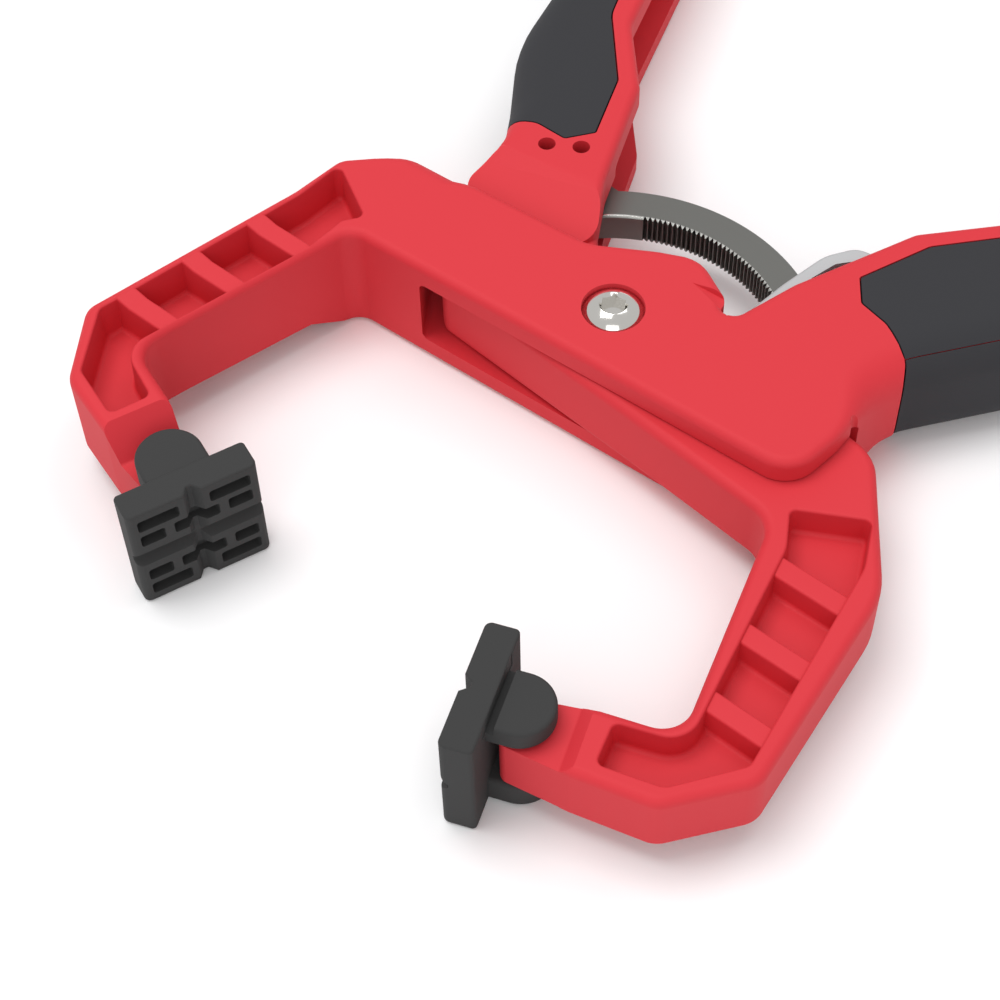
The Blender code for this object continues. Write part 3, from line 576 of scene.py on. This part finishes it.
def zinc_material(rgb):
    recipe = Recipe("cast_zinc")
    recipe.set(Metallic=1.0)
    grain = recipe.group("surface_grain", Fine_Scale=1300.0, Coarse_Scale=900.0)
    recipe.link(recipe.blend(grain.outputs["Variation"], scaled(rgb, 0.6), scaled(rgb, 1.35)),
                recipe.shader.inputs["Base Color"])
    recipe.link(recipe.range(grain.outputs["Variation"], 0.28, 0.5), recipe.shader.inputs["Roughness"])
    recipe.bump(grain.outputs["Height"], 0.9, 0.12 * MM)
    return recipe.material


def make_materials(colours):
    grain_group()
    specks_group()
    nylon_material(colours.nylon)
    grip_material(colours.grip)
    pad_material(colours.pad)
    nickel_material(colours.nickel)
    steel_material("oiled_steel", colours.steel, 0.26, 0.42)
    # light steel for the painted highlights on the bar's edges
    steel_material("painted_highlight_steel", colours.highlight_colour, 0.12, 0.24)
    zinc_material(colours.zinc)


def paint(name):
    return bpy.data.materials[name]


# ---------------------------------------------------------------- pieces

def jaw_direction(side):
    angle = math.radians(180 + PAD_TILT)
    return Vector((side * math.cos(angle), math.sin(angle)))


def pad_pivot(side):
    centre = frame_centre("left_pad_pin" if side == HANDLE else "right_pad_pin")
    return Vector((centre.x, centre.y)) / MM


def pad_bore(size, centre):
    """Cutter for the blind bore of a pad's pin."""
    cover = 1.9
    return disc("pad_bore", centre, PAD_PIN_BORE, cover, size.full - cover, sides=32)


def handle_edge(size, side):
    """Rounding of an arm's rim: large on the handle's outer side, small everywhere else."""
    back, low, high = (size.fork_back, 2, 17) if side == HANDLE else (size.tongue_back, 19, 31)

    def radius(point):
        x, y = abs(point.x), point.y
        outer = smooth_step(x - outer_line(side, y), -7, -3)
        end = 1 - 0.45 * smooth_step(y, 90, 100)
        return size.edge + (back * end - size.edge) * outer * smooth_step(y, low, high)
    return radius


def outer_line(side, y):
    """Distance of a handle's outer side from the middle plane at a height along it."""
    stops = sorted((corner[1], -corner[0]) for corner in OUTER_SIDE[side])
    for (y0, x0), (y1, x1) in zip(stops, stops[1:]):
        if y <= y1:
            return x0 + (x1 - x0) * (y - y0) / (y1 - y0)
    return stops[-1][1]


def smooth_step(value, low, high):
    t = min(1, max(0, (value - low) / (high - low)))
    return t * t * (3 - 2 * t)


def neck_tools(size, side, half, step_start, step_end):
    """Cutters that step a jaw down to its neck on both faces."""
    mid = size.full / 2
    neck = size.neck / 2
    tools = []
    for sign in (1, -1):
        profile = [(step_start - 0.6, mid + sign * (half + 0.8)), (step_start, mid + sign * half),
                   (step_end, mid + sign * neck, 0.8), (12, mid + sign * neck), (12, mid + sign * (half + 2))]
        tool = plate("neck_tool", rounded(profile), -12, 12)
        tools.append(upright(tool, pad_pivot(side), jaw_direction(side)))
    return tools


def pocket_tools(size, corners, side, half, floors):
    """Cutters for the pockets above and below, from their floors' distances to the middle plane."""
    points = rounded(flip(corners, side), 10)
    mid = size.full / 2
    return [pocket_tool("pocket_tool", points, mid + sign * floor, mid + sign * half, size.floor, size.rim)
            for sign, floor in zip((1, -1), floors)]


def rib(size, side, reach, half, floors, facet=False):
    """One cross rib of a pocket on each face. Its rounded top may climb to the rim at its outer end."""
    y, inner, outer = reach
    stations = [(inner - 0.45, 0), (outer + 0.8, 0)]
    if facet:
        stations = [(inner - 0.45, 0), (outer - 2.8, 0), (outer - 0.4, 1), (outer + 0.8, 1)]
    made = []
    for sign, floor in zip((1, -1), floors):
        sections = []
        for x, climb in stations:
            top = half - size.rib_sink + (size.rib_sink - 0.05) * climb
            sections.append(rib_section(size, side, x, y, sign, floor, top))
        made.append(loft("rib", sections))
    return made


def rib_section(size, side_of_arm, x, y, sign, base, top):
    """A rib's section: a fillet at the foot and a rounded top, set askew to follow the jaw's inner wall."""
    mid = size.full / 2
    half_width = size.rib / 2
    draft, top_round = 0.15, 0.5
    angles = [math.radians(30 * number) for number in range(4)]
    outline = [(half_width + size.floor, base - 1)]
    outline += [(half_width + size.floor * (1 - math.sin(angle)), base + size.floor * (1 - math.cos(angle)))
                for angle in angles]
    top_width = half_width - draft
    outline += [(top_width - top_round * (1 - math.cos(angle)), top - top_round * (1 - math.sin(angle)))
                for angle in angles]
    outline += [(-across, height) for across, height in reversed(outline)]
    return [(side_of_arm * (x - WALL_SLOPE * across), y + across, mid + sign * height)
            for across, height in outline]


def grip_seat(size, side):
    """What a grip takes out of its handle: the region round it, less the handle's core."""
    handle, grip = HANDLE_AND_GRIP[side]
    region = plate("seat", inset(rounded(flip(grip, side)), -GAP / 2), -1, size.full + 1)
    skin = GRIP_SKIN + GAP
    core = plate("core", inset(rounded(flip(handle, side)), GRIP_WALL + GAP), skin, size.full - skin)
    return combine(region, [core])


def nub_wedges(size):
    """Cutters for the small sloping recess beside the fork's nub, on both faces."""
    mid = size.full / 2
    rings = [[(7, 13, 0.3), (16, 16, 0.3), (16, 10.5, 0.3)],
             [(7.01, 13, -0.01), (16, 15, -2.2), (16, 11.5, -2.2)]]
    return [loft("wedge", [[(x, y, mid + sign * (mid + rise)) for x, y, rise in ring] for ring in rings])
            for sign in (1, -1)]


def cheek_notches(size):
    """Cutters for the small arches where the cheeks meet the handle."""
    mid = size.full / 2
    reach = size.slot / 2 - 0.5
    return [disc("notch", (45.6, 6.4), 1.3, *sorted((mid + sign * reach, mid + sign * (mid + 1))), sides=32)
            for sign in (1, -1)]


def make_fork_arm(size):
    mid = size.full / 2
    points = rounded(flip(FORK, HANDLE), 6, 2.5)
    piece = plate("fork_arm_body", points, 0, size.full, handle_edge(size, HANDLE))
    slot = plate("slot_tool", rounded(SLOT), mid - size.slot / 2, mid + size.slot / 2, 1.2)
    combine(piece, [slot])
    floors = (mid - size.fork_pocket, size.web - (mid - size.fork_pocket))
    combine(piece, pocket_tools(size, POCKET_FORK, HANDLE, mid, floors))
    for reach in RIBS_FORK:
        combine(piece, rib(size, HANDLE, reach, mid, floors, True), "UNION")
    combine(piece, neck_tools(size, HANDLE, mid, -10.95, -6.45))
    combine(piece, [upright(plate("sole_tool", rounded(RAISED_SOLE), -26, 26), (-57, 0), (0, -1))])
    combine(piece, nub_wedges(size) + cheek_notches(size))
    combine(piece, [grip_seat(size, HANDLE)])
    recess = size.head + HEAD_GAP
    combine(piece, [
        disc("bore", (0, 0), PIVOT_BORE, -1, size.full + 1),
        disc("head_recess", (0, 0), recess, size.full - HEAD_SINK, size.full + 1),
        disc("flange_recess", (0, 0), recess, -1, FLANGE_THICK + GAP),
        disc("lever_bore", frame_centre("lever_pin") / MM, LEVER_PIN_BORE, 1, size.full - 1, sides=32),
        pad_bore(size, pad_pivot(HANDLE)),
    ])
    return piece


def make_tongue_arm(size):
    mid = size.full / 2
    half = size.tongue / 2
    handle = plate("tongue_arm_body", rounded(TONGUE_HANDLE, 6, 2.5), 0, size.full, handle_edge(size, JAW))
    ramps = []
    for sign in (1, -1):
        low = half - 0.1
        profile = [(-30, mid + sign * low), (12.0, mid + sign * low), (23.0, mid + sign * (mid + 0.3)),
                   (23.0, mid + sign * 20), (-30, mid + sign * 20)]
        ramps.append(upright(plate("ramp_tool", rounded(profile), -75, 75), (0, 0), polar(1, RAMP_HEADING)))
    combine(handle, ramps)
    tongue = plate("tongue", rounded(TONGUE, 6, 4), mid - half, mid + half, size.edge)
    combine(handle, [tongue], "UNION")
    combine(handle, [plate("channel_tool", rounded(CHANNEL), mid - half, mid + half, 1.2)])
    combine(handle, [plate("root_tool", rounded(CHANNEL_ROOT), mid - 4.5, mid + 4.5, 0.8)])
    floors = [half - size.tongue_pocket] * 2
    combine(handle, pocket_tools(size, POCKET_TONGUE, JAW, half, floors))
    for reach in RIBS_TONGUE:
        combine(handle, rib(size, JAW, reach, half, floors), "UNION")
    combine(handle, neck_tools(size, JAW, half, -10.35, -8.25))
    combine(handle, [grip_seat(size, JAW)])
    combine(handle, [disc("bore", (0, 0), PIVOT_BORE, -1, size.full + 1), pad_bore(size, pad_pivot(JAW))])
    combine(handle, [disc("pin_hole", frame_centre(node) / MM, BAR_PIN_BORE, -1, size.full + 1, sides=32)
                     for node in ("inner_bar_pin", "outer_bar_pin")])
    return handle


def make_grip(size, side, name):
    """Soft overmoulding: the handle's outer skin within the grip's own outline."""
    handle, grip = HANDLE_AND_GRIP[side]
    piece = plate(name, rounded(flip(handle, side), 6, 2.5), 0, size.full, handle_edge(size, side), 8)
    region = plate("region", inset(rounded(flip(grip, side)), GAP / 2), -1, size.full + 1)
    core = plate("core", inset(rounded(flip(handle, side)), GRIP_WALL), GRIP_SKIN, size.full - GRIP_SKIN)
    combine(piece, [region], "INTERSECT")
    combine(piece, [core])
    return piece


def make_pad(size, side, name):
    """A cross-grooved plate and two ears round the neck."""
    half = size.pad / 2
    mid = size.full / 2
    face, back, groove, bed = 9.1, 3.5, 1.6, 7.6
    outline = [(back, -half, 0.8), (face, -half, 1.2), (face, -groove), (bed, -0.4, 0.3),
               (bed, 0.4, 0.3), (face, groove), (face, half, 1.2), (back, half, 0.8)]
    low = mid - half
    piece = plate(name, rounded(outline, 15), low, low + size.pad, 0.45, 3)
    ear = [Vector((back + 1.5, -EAR_RADIUS)), Vector((back + 1.5, EAR_RADIUS))]
    ear += [polar(EAR_RADIUS, angle) for angle in range(90, 271, 6)]
    reach = size.neck / 2 + GAP
    upper, lower = (0.25, 1.5) if side == HANDLE else (1.5, 0.25)
    ears = [plate("ear", ear, bottom, top, 0.8, 4)
            for bottom, top in ((low + lower, mid - reach), (mid + reach, low + size.pad - upper))]
    combine(piece, ears, "UNION")
    level = [(face + 1, mid - groove), (face, mid - groove), (bed, mid - 0.4, 0.3),
             (bed, mid + 0.4, 0.3), (face, mid + groove), (face + 1, mid + groove)]
    tools = [upright(plate("level_tool", rounded(level, 15), -half - 1, half + 1), (0, 0), (1, 0))]
    away = -1 if side == HANDLE else 1
    bottom, top = sorted((mid + away * (half - 3), mid + away * (half + 1)))
    tools.append(box("ear_groove", (back - EAR_GROOVE, -7, bottom), (back + 0.1, 7, top)))
    for left, right, near, far in ((2.7, 9.9, 7.1, 9.7), (5.6, 9.9, 3.3, 5.9), (-9.9, -2.7, 7.1, 9.7),
                                   (-9.9, -5.6, 3.3, 5.9), (-4.0, 4.0, 3.3, 5.9)):
        for up in (-1, 1):
            bottom, top = sorted((mid + up * near, mid + up * far))
            tools.append(slot_tool(face - 2.6, face + 1, left, right, bottom, top))
    combine(piece, tools + [pad_bore(size, (0, 0))])
    soften(piece, 0.22)
    heading = jaw_direction(side)
    place = pad_pivot(side)
    piece.matrix_world = (Matrix.Translation((place.x * MM, place.y * MM, 0))
                          @ Matrix.Rotation(math.atan2(heading.y, heading.x), 4, "Z"))
    return settle(piece)


def slot_tool(near, far, left, right, bottom, top):
    """A cutter along local X for one slot of a pad's face, with rounded corners."""
    corners = [(left, bottom, 0.5), (right, bottom, 0.5), (right, top, 0.5), (left, top, 0.5)]
    ring = rounded(corners, 20)
    return loft("slot", [[(x, p.x, p.y) for p in ring] for x in (near, far)])


def make_ratchet_bar(size):
    """Arc bar with teeth on the hollow side and rounded inner edges, which later get bands of painted
    highlight.
    """
    mid = size.full / 2
    half = size.bar / 2
    first_tooth = BAR_START + 3
    outline = [polar(BAR_INNER + 1.2, BAR_START)]
    count = int((TEETH_END - first_tooth) / TOOTH_PITCH)
    for index in range(count):
        angle = first_tooth + index * TOOTH_PITCH
        outline += [polar(BAR_INNER, angle), polar(BAR_INNER, angle + TOOTH_PITCH * 0.12)]
        outline.append(polar(BAR_INNER + TOOTH_DEPTH, angle + TOOTH_PITCH * 0.82))
    outline += [polar(BAR_INNER, angle) for angle in range(TEETH_END, BAR_END + 1, 2)]
    pins = [frame_centre(node) / MM for node in ("outer_bar_pin", "inner_bar_pin")]
    for centre, first, last in ((pins[0], 235, 115), (pins[1], 105, 65)):
        outline += [Vector((centre.x, centre.y)) + polar(3.3, angle) for angle in range(first, last - 1, -10)]
    outline += [polar(BAR_OUTER, angle) for angle in range(TANG_START, BAR_START - 1, -2)]
    piece = plate("ratchet_bar_teeth", outline, mid - half, mid + half)
    ring_inner, ring_outer = BAR_INNER - 0.4, BAR_INNER + 10.7
    section = []
    for sign in (1, -1):
        part = []
        for angle in range(90, -1, -15):
            turn = math.radians(angle)
            part.append((ring_inner + CREST_ROUND * (1 - math.sin(turn)),
                         mid + sign * (half - CREST_ROUND * (1 - math.cos(turn)))))
        part.append((ring_outer - BACK_ROUND, mid + sign * half))
        part.append((ring_outer, mid + sign * (half - BACK_ROUND)))
        section += part if sign > 0 else part[::-1]
    ring = ring_of(section, "edge_ring")
    combine(piece, [ring], "INTERSECT")
    return piece


def ring_of(section, name, sides=120):
    """A closed ring about Z from a section of radius and height pairs."""
    form = bmesh.new()
    loops = []
    for index in range(sides):
        turn = 360 * index / sides
        loops.append([form.verts.new((*(polar(radius, turn) * MM), height * MM))
                      for radius, height in section])
    for index in range(sides):
        for spot in range(len(section)):
            form.faces.new((loops[index - 1][spot - 1], loops[index - 1][spot], loops[index][spot],
                            loops[index][spot - 1]))
    bmesh.ops.recalc_face_normals(form, faces=form.faces)
    mesh = bpy.data.meshes.new(name)
    form.to_mesh(mesh)
    form.free()
    return new_object(name, mesh)


def ring_sector(inner, outer, start, end, step):
    """Outline of a part of a ring about the pivot, between two angles."""
    return ([polar(outer, angle) for angle in range(start, end + 1, step)]
            + [polar(inner, angle) for angle in range(end, start - 1, -step)])


def make_lever(size):
    """Curved casting with room for the bar, the pawl, its pin and its spring."""
    mid = size.full / 2
    half = frame_height("release_lever") / MM / 2
    pin = frame_centre("lever_pin") / MM
    piece = plate("release_lever_casting", rounded(LEVER, 6, 3), mid - half, mid + half, 0.7, 4)
    bar_half = size.bar / 2
    path = ring_sector(29.1, 37.9, 12, 72, 3)
    seat = ring_sector(25.9, 29.6, 30, 46, 2)
    combine(piece, [
        plate("hollow_tool", rounded(LEVER_HOLLOW), mid - half - 1, mid + half + 1),
        plate("path_tool", path, mid - bar_half - 0.6, mid + bar_half + 0.6),
        plate("seat_tool", seat, mid - 2.9, mid + 2.9),
        disc("bore", pin, LEVER_PIN_BORE, 0, size.full),
        disc("spring_room", pin, 6.6, mid - 2.6, mid + 2.6),
    ])
    return piece


def make_screw(size):
    """Button head screw: a spherical dome with a chamfered hex socket."""
    top = size.full + size.dome
    under = size.full - HEAD_SINK + 0.05
    radii = [size.head * step / 14 for step in range(15)]
    dome = [(radius, top - HEAD_SPHERE + math.sqrt(HEAD_SPHERE ** 2 - radius ** 2)) for radius in radii]
    shank = [(size.head, under), (SCREW_RADIUS, under), (SCREW_RADIUS, SCREW_TIP), (0, SCREW_TIP)]
    piece = turned("pivot_screw_head", dome + shank, 96)
    corner = size.hexagon / 2 / math.cos(math.radians(30))
    hexagon = [polar(corner, angle) for angle in range(0, 360, 60)]
    cone = [(0, top - 1), (size.hexagon / 2, top - 1), (3.2, top + 0.2), (0, top + 0.2)]
    chamfer = turned("chamfer", cone, 96)
    combine(piece, [plate("socket_tool", hexagon, top - 2.4, top + 1), chamfer])
    return piece


def make_nut(size):
    """Barrel nut with a flange that closes the bore from below."""
    nut_top = size.full - HEAD_SINK - 0.25
    bore, chamfer = SCREW_RADIUS + GAP, 0.3
    profile = [(0, NUT_FLOOR), (bore, NUT_FLOOR), (bore, nut_top), (BARREL_RADIUS, nut_top),
               (BARREL_RADIUS, FLANGE_THICK), (size.head, FLANGE_THICK),
               (size.head, chamfer), (size.head - chamfer, 0), (0, 0)]
    return turned("pivot_nut_body", profile)


# ---------------------------------------------------------------- operators

class CLAMP_OT_stage(bpy.types.Operator):
    """Set the studio: a pale floor, soft light and the camera"""
    bl_idname = "clamp.stage"
    bl_label = "Studio"

    def execute(self, context):
        make_materials(context.scene.clamp_colours)
        make_floor(context.scene.clamp_colours.floor)
        make_light(context.scene)
        make_camera(context.scene)
        return {"FINISHED"}


class CLAMP_OT_fork_arm(bpy.types.Operator):
    """Make the fork arm, with its slot, pockets and screw recess"""
    bl_idname = "clamp.fork_arm"
    bl_label = "Fork arm"

    def execute(self, context):
        size = sizes(context)
        piece = shade(soften(make_fork_arm(size), size.crease))
        hand_over(piece, "fork", "fork_arm", paint("red_nylon"))
        return {"FINISHED"}


class CLAMP_OT_tongue_arm(bpy.types.Operator):
    """Make the tongue arm, with its ramped handle, pockets and pin holes"""
    bl_idname = "clamp.tongue_arm"
    bl_label = "Tongue arm"

    def execute(self, context):
        size = sizes(context)
        piece = shade(soften(make_tongue_arm(size), size.crease))
        hand_over(piece, "tongue", "tongue_arm", paint("red_nylon"))
        return {"FINISHED"}


class CLAMP_OT_grips(bpy.types.Operator):
    """Make both grips"""
    bl_idname = "clamp.grips"
    bl_label = "Grips"

    def execute(self, context):
        size = sizes(context)
        for side, body, node in ((HANDLE, "fork", "fork_grip"), (JAW, "tongue", "tongue_grip")):
            piece = shade(soften(make_grip(size, side, node + "_skin"), 0.4))
            hand_over(piece, body, node, paint("soft_grip_rubber"))
        return {"FINISHED"}


class CLAMP_OT_pads(bpy.types.Operator):
    """Make both pads"""
    bl_idname = "clamp.pads"
    bl_label = "Pads"

    def execute(self, context):
        size = sizes(context)
        for side, node in ((HANDLE, "left_pad"), (JAW, "right_pad")):
            piece = shade(make_pad(size, side, node + "_moulding"))
            hand_over(piece, node, node, paint("pad_rubber"))
        return {"FINISHED"}


class CLAMP_OT_pivot(bpy.types.Operator):
    """Make the pivot screw and its barrel nut"""
    bl_idname = "clamp.pivot"
    bl_label = "Pivot"

    def execute(self, context):
        size = sizes(context)
        screw = shade(soften(make_screw(size), 0.12))
        hand_over(screw, "fork", "pivot_screw", paint("nickel_plate"))
        nut = shade(make_nut(size))
        hand_over(nut, "fork", "pivot_barrel_nut", paint("nickel_plate"))
        return {"FINISHED"}


class CLAMP_OT_ratchet_bar(bpy.types.Operator):
    """Make the toothed arc bar"""
    bl_idname = "clamp.ratchet_bar"
    bl_label = "Ratchet bar"

    def execute(self, context):
        size = sizes(context)
        piece = shade(make_ratchet_bar(size), 25)
        # the second material paints highlights on the bar's rounded edges
        steel_and_highlight = [paint("oiled_steel"), paint("painted_highlight_steel")]
        hand_over(piece, "tongue", "ratchet_bar", steel_and_highlight)
        paint_edge_highlights(piece, size)
        return {"FINISHED"}


class CLAMP_OT_release_lever(bpy.types.Operator):
    """Make the cast release lever"""
    bl_idname = "clamp.release_lever"
    bl_label = "Release lever"

    def execute(self, context):
        size = sizes(context)
        piece = shade(soften(make_lever(size), 0.3))
        hand_over(piece, "lever", "release_lever", paint("cast_zinc"))
        return {"FINISHED"}


class CLAMP_OT_small_steel(bpy.types.Operator):
    """Finish the pins, springs, washers and pawl"""
    bl_idname = "clamp.small_steel"
    bl_label = "Pins, springs, washers and pawl"

    def execute(self, context):
        for node in ("upper_washer", "lower_washer", "opening_spring", "inner_bar_pin", "outer_bar_pin",
                     "ratchet_pawl", "lever_pin", "lever_spring", "left_pad_pin", "right_pad_pin"):
            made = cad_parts[node]
            made.data.materials.clear()
            made.data.materials.append(paint("oiled_steel"))
        return {"FINISHED"}


def paint_edge_highlights(piece, size):
    """Paint highlights on the bar's rounded inner edges: two thin bands of light steel where light makes
    bright lines.
    """
    mid = size.full / 2
    half = size.bar / 2
    for face in piece.data.polygons:
        centre = face.center / MM
        radius = math.hypot(centre.x, centre.y)
        below = half - abs(centre.z - mid)
        # two bands of painted highlight: one at the edge of the flat, one part way down the rounding
        if radius < 31.2 and (0.01 < below < 0.05 or 0.6 < below < 1.1):
            face.material_index = 1


def make_floor(rgb):
    form = bmesh.new()
    bmesh.ops.create_grid(form, x_segments=1, y_segments=1, size=3.0)
    mesh = bpy.data.meshes.new("studio_floor")
    form.to_mesh(mesh)
    form.free()
    floor = new_object("studio_floor", mesh)
    recipe = Recipe("studio_floor")
    recipe.set(Base_Color=(*rgb, 1), Roughness=0.9)
    mesh.materials.append(recipe.material)


def make_light(scene):
    scene.view_settings.view_transform = "Standard"
    world = bpy.data.worlds.new("studio")
    world.use_nodes = True
    world.node_tree.nodes["Background"].inputs["Color"].default_value = (1, 1, 1, 1)
    world.node_tree.nodes["Background"].inputs["Strength"].default_value = 0.60
    scene.world = world
    lamps = (("key", (-0.34, -0.14, 1.2), 0.7, 8.0), ("back", (0.12, 0.5, 1.05), 0.5, 1.5),
             ("front", (0.58, -0.80, 0.69), 0.8, 3.0))
    for name, place, side, power in lamps:
        lamp = bpy.data.lights.new(name, "AREA")
        lamp.shape = "SQUARE"
        lamp.size = side
        lamp.energy = power
        made = bpy.data.objects.new(name, lamp)
        scene.collection.objects.link(made)
        made.location = place
        made.rotation_euler = (-Vector(place)).to_track_quat("-Z", "Y").to_euler()


def make_camera(scene):
    azimuth, drop, roll = math.radians(41.0), math.radians(52.95), math.radians(-1.71)
    right = Vector((math.cos(azimuth), math.sin(azimuth), 0))
    up = Vector((-math.sin(drop) * math.sin(azimuth), math.sin(drop) * math.cos(azimuth), math.cos(drop)))
    across = right * math.cos(roll) + up * math.sin(roll)
    upward = up * math.cos(roll) - right * math.sin(roll)
    lens = bpy.data.cameras.new("camera")
    lens.lens = 76.6
    lens.sensor_width = 36
    lens.clip_start = 0.01
    camera = bpy.data.objects.new("camera", lens)
    scene.collection.objects.link(camera)
    turn = Matrix((across, upward, across.cross(upward))).transposed().to_4x4()
    camera.matrix_world = Matrix.Translation(Vector((144.1, -196.5, 291.7)) * MM) @ turn
    scene.camera = camera


OPERATORS = (CLAMP_OT_stage, CLAMP_OT_fork_arm, CLAMP_OT_tongue_arm, CLAMP_OT_grips, CLAMP_OT_pads,
             CLAMP_OT_pivot, CLAMP_OT_ratchet_bar, CLAMP_OT_release_lever, CLAMP_OT_small_steel)


class CLAMP_PT_panel(bpy.types.Panel):
    """Lists the clamp's pieces, sizes and colours"""
    bl_idname = "CLAMP_PT_panel"
    bl_label = "Hand clamp"
    bl_space_type = "VIEW_3D"
    bl_region_type = "UI"
    bl_category = "Clamp"

    def draw(self, context):
        for operator in OPERATORS:
            self.layout.operator(operator.bl_idname)
        scene = context.scene
        for group, owner in ((scene.clamp_sizes, ClampSizes), (scene.clamp_colours, ClampColours)):
            column = self.layout.column(align=True)
            for key in owner.__annotations__:
                column.prop(group, key)


CLASSES = (ClampSizes, ClampColours, *OPERATORS, CLAMP_PT_panel)


def register():
    for kind in CLASSES:
        bpy.utils.register_class(kind)
    bpy.types.Scene.clamp_sizes = PointerProperty(type=ClampSizes)
    bpy.types.Scene.clamp_colours = PointerProperty(type=ClampColours)


def unregister():
    del bpy.types.Scene.clamp_colours
    del bpy.types.Scene.clamp_sizes
    for kind in reversed(CLASSES):
        bpy.utils.unregister_class(kind)


def main():
    register()
    bpy.ops.clamp.stage()
    bpy.ops.clamp.fork_arm()
    bpy.ops.clamp.tongue_arm()
    bpy.ops.clamp.grips()
    bpy.ops.clamp.pads()
    bpy.ops.clamp.pivot()
    bpy.ops.clamp.ratchet_bar()
    bpy.ops.clamp.release_lever()
    bpy.ops.clamp.small_steel()


if __name__ == "__main__":
    main()
